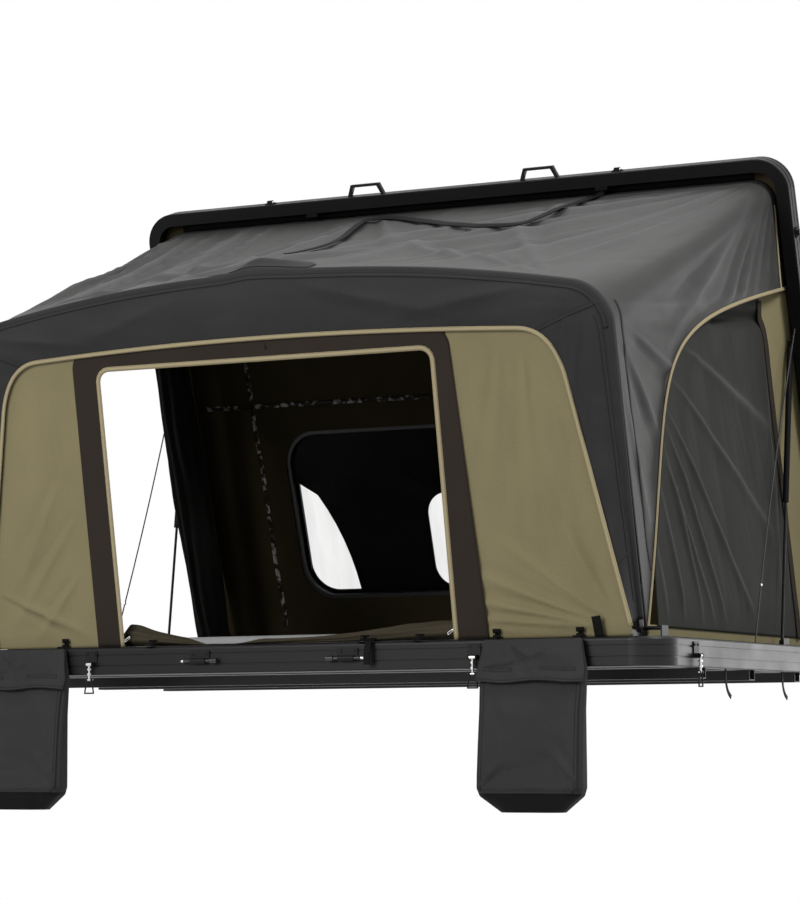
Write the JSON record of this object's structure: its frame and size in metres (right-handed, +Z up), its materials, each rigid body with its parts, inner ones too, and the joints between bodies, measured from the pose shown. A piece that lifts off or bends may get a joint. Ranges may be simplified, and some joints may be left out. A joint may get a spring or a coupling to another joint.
{
  "type": "roof top tent",
  "caption": "Side-opening hard-shell roof top tent standing open, with a gas-strut lid, hoop-framed canopy, door, rear window, mattress, latches and hanging storage bags.",
  "frame": {"origin": "middle of the rack bolt pattern, on the underside of the mounting channels", "axes": "+X along the shell, -Y towards the door side, +Y towards the lid hinge, +Z up"},
  "size_m": [2.138, 1.652, 1.8592],
  "materials": {
    "rail_black": "satin black powder coat on aluminium rail",
    "panel_black": "black sandwich panel with a fine orange-peel skin",
    "fitting_black": "black coated steel fitting",
    "bright_steel": "bright zinc plated steel",
    "fly_grey": "dark grey coated oxford cloth",
    "tan_canvas": "olive tan polycotton canvas",
    "brown_cloth": "dark brown cloth",
    "bag_cloth": "black coated bag cloth",
    "webbing_black": "black woven webbing",
    "plastic_black": "black moulded plastic",
    "clear_film": "clear window film",
    "mattress_grey": "grey mattress cover",
    "elastic_black": "black elastic cord"
  },
  "bodies": {
    "base": {"base_floor": "panel_black", "base_rail_near": "rail_black", "base_rail_far": "rail_black", "base_rail_left": "rail_black", "base_rail_right": "rail_black", "base_corners": "rail_black", "mount_channels": "rail_black", "mattress": "mattress_grey", "base_hinge_leaves": "fitting_black", "hinge_pins": "bright_steel", "latch_plates": "fitting_black", "ladder_brackets": "fitting_black", "bag_left": "bag_cloth", "bag_right": "bag_cloth", "bag_straps": "webbing_black", "strut_brackets_base": "bright_steel", "hoop_brackets": "fitting_black", "fly": "fly_grey", "front_wall": "tan_canvas", "door_band": "brown_cloth", "door_flap": "tan_canvas", "end_wall_left": "tan_canvas", "end_wall_right": "tan_canvas", "end_door_left": "fly_grey", "end_door_right": "fly_grey", "bungee_left": "elastic_black", "bungee_right": "elastic_black"},
    "lid": {"lid_panel": "panel_black", "lid_rail_near": "rail_black", "lid_rail_far": "rail_black", "lid_rail_left": "rail_black", "lid_rail_right": "rail_black", "lid_corners": "rail_black", "lid_hinge_leaves": "fitting_black", "lid_handle_left": "fitting_black", "lid_handle_right": "fitting_black", "latch_keepers": "fitting_black", "strut_brackets_lid": "bright_steel", "window_trim": "plastic_black", "window_board": "plastic_black", "window_film": "clear_film", "lid_lining": "brown_cloth", "strap_buckles": "plastic_black", "closing_strap": "webbing_black"},
    "hoop": {"hoop": "fitting_black"},
    "strut_rod_left": {"strut_rod_left": "bright_steel"},
    "strut_tube_left": {"strut_tube_left": "fitting_black"},
    "strut_rod_right": {"strut_rod_right": "bright_steel"},
    "strut_tube_right": {"strut_tube_right": "fitting_black"},
    "latch_lever_front_left": {"latch_lever_front_left": "bright_steel"},
    "latch_bail_front_left": {"latch_bail_front_left": "fitting_black"},
    "latch_lever_front_right": {"latch_lever_front_right": "bright_steel"},
    "latch_bail_front_right": {"latch_bail_front_right": "fitting_black"},
    "latch_lever_end_left": {"latch_lever_end_left": "bright_steel"},
    "latch_bail_end_left": {"latch_bail_end_left": "fitting_black"},
    "latch_lever_end_right": {"latch_lever_end_right": "bright_steel"},
    "latch_bail_end_right": {"latch_bail_end_right": "fitting_black"},
    "ladder_pin_left": {"ladder_pin_left": "bright_steel"},
    "ladder_pin_right": {"ladder_pin_right": "bright_steel"}
  },
  "joints": [
    {"name": "lid_hinge", "type": "hinge", "parent": "base", "child": "lid", "pos_m": [0, 0.728, 0.102], "axis": [1, 0, 0], "range_deg": [0, 72], "stiffness_Nm_per_rad": 140, "springref_deg": -85.94, "deforming": ["fly", "front_wall", "door_band", "door_flap", "end_wall_left", "end_wall_right", "end_door_left", "end_door_right", "bungee_left", "bungee_right", "closing_strap", "bag_straps", "hoop"]},
    {"name": "hoop_fold", "type": "hinge", "parent": "base", "child": "hoop", "pos_m": [0, -0.624, 0.124], "axis": [1, 0, 0], "range_deg": [-103.5, 0]},
    {"name": "strut_turn_left", "type": "hinge", "parent": "base", "child": "strut_rod_left", "pos_m": [-0.997, 0.335, 0.111], "axis": [1, 0, 0], "range_deg": [0, 98.06]},
    {"name": "strut_slide_left", "type": "slide", "parent": "strut_rod_left", "child": "strut_tube_left", "axis": [0, 0.1402, 0.9901], "range_m": [-0.35093, 0]},
    {"name": "strut_turn_right", "type": "hinge", "parent": "base", "child": "strut_rod_right", "pos_m": [0.997, 0.335, 0.111], "axis": [1, 0, 0], "range_deg": [0, 98.06]},
    {"name": "strut_slide_right", "type": "slide", "parent": "strut_rod_right", "child": "strut_tube_right", "axis": [0, 0.1402, 0.9901], "range_m": [-0.35093, 0]},
    {"name": "latch_swing_front_left", "type": "hinge", "parent": "base", "child": "latch_lever_front_left", "pos_m": [-0.613, -0.733, 0.056], "axis": [-1, 0, 0], "range_deg": [0, 140]},
    {"name": "bail_swing_front_left", "type": "hinge", "parent": "latch_lever_front_left", "child": "latch_bail_front_left", "pos_m": [-0.613, -0.733, 0.014], "axis": [-1, 0, 0], "range_deg": [-40, 40]},
    {"name": "latch_swing_front_right", "type": "hinge", "parent": "base", "child": "latch_lever_front_right", "pos_m": [0.533, -0.733, 0.056], "axis": [-1, 0, 0], "range_deg": [0, 140]},
    {"name": "bail_swing_front_right", "type": "hinge", "parent": "latch_lever_front_right", "child": "latch_bail_front_right", "pos_m": [0.533, -0.733, 0.014], "axis": [-1, 0, 0], "range_deg": [-40, 40]},
    {"name": "latch_swing_end_left", "type": "hinge", "parent": "base", "child": "latch_lever_end_left", "pos_m": [-1.063, -0.498, 0.056], "axis": [0, 1, 0], "range_deg": [0, 140]},
    {"name": "bail_swing_end_left", "type": "hinge", "parent": "latch_lever_end_left", "child": "latch_bail_end_left", "pos_m": [-1.063, -0.498, 0.014], "axis": [0, 1, 0], "range_deg": [-40, 40]},
    {"name": "latch_swing_end_right", "type": "hinge", "parent": "base", "child": "latch_lever_end_right", "pos_m": [1.063, -0.498, 0.056], "axis": [0, -1, 0], "range_deg": [0, 140]},
    {"name": "bail_swing_end_right", "type": "hinge", "parent": "latch_lever_end_right", "child": "latch_bail_end_right", "pos_m": [1.063, -0.498, 0.014], "axis": [0, -1, 0], "range_deg": [-40, 40]},
    {"name": "ladder_pin_slide_left", "type": "slide", "parent": "base", "child": "ladder_pin_left", "axis": [-1, 0, 0], "range_m": [0, 0.0145], "stiffness_N_per_m": 150},
    {"name": "ladder_pin_slide_right", "type": "slide", "parent": "base", "child": "ladder_pin_right", "axis": [1, 0, 0], "range_m": [0, 0.0145], "stiffness_N_per_m": 150}
  ],
  "couplings": [
    {"joint": "hoop_fold", "follows": "lid_hinge", "ratio": -1.4375},
    {"joint": "strut_turn_left", "follows": "lid_hinge", "ratio": 1.362},
    {"joint": "strut_slide_left", "follows": "lid_hinge", "m_per_rad": -0.27926},
    {"joint": "strut_turn_right", "follows": "lid_hinge", "ratio": 1.362},
    {"joint": "strut_slide_right", "follows": "lid_hinge", "m_per_rad": -0.27926}
  ]
}
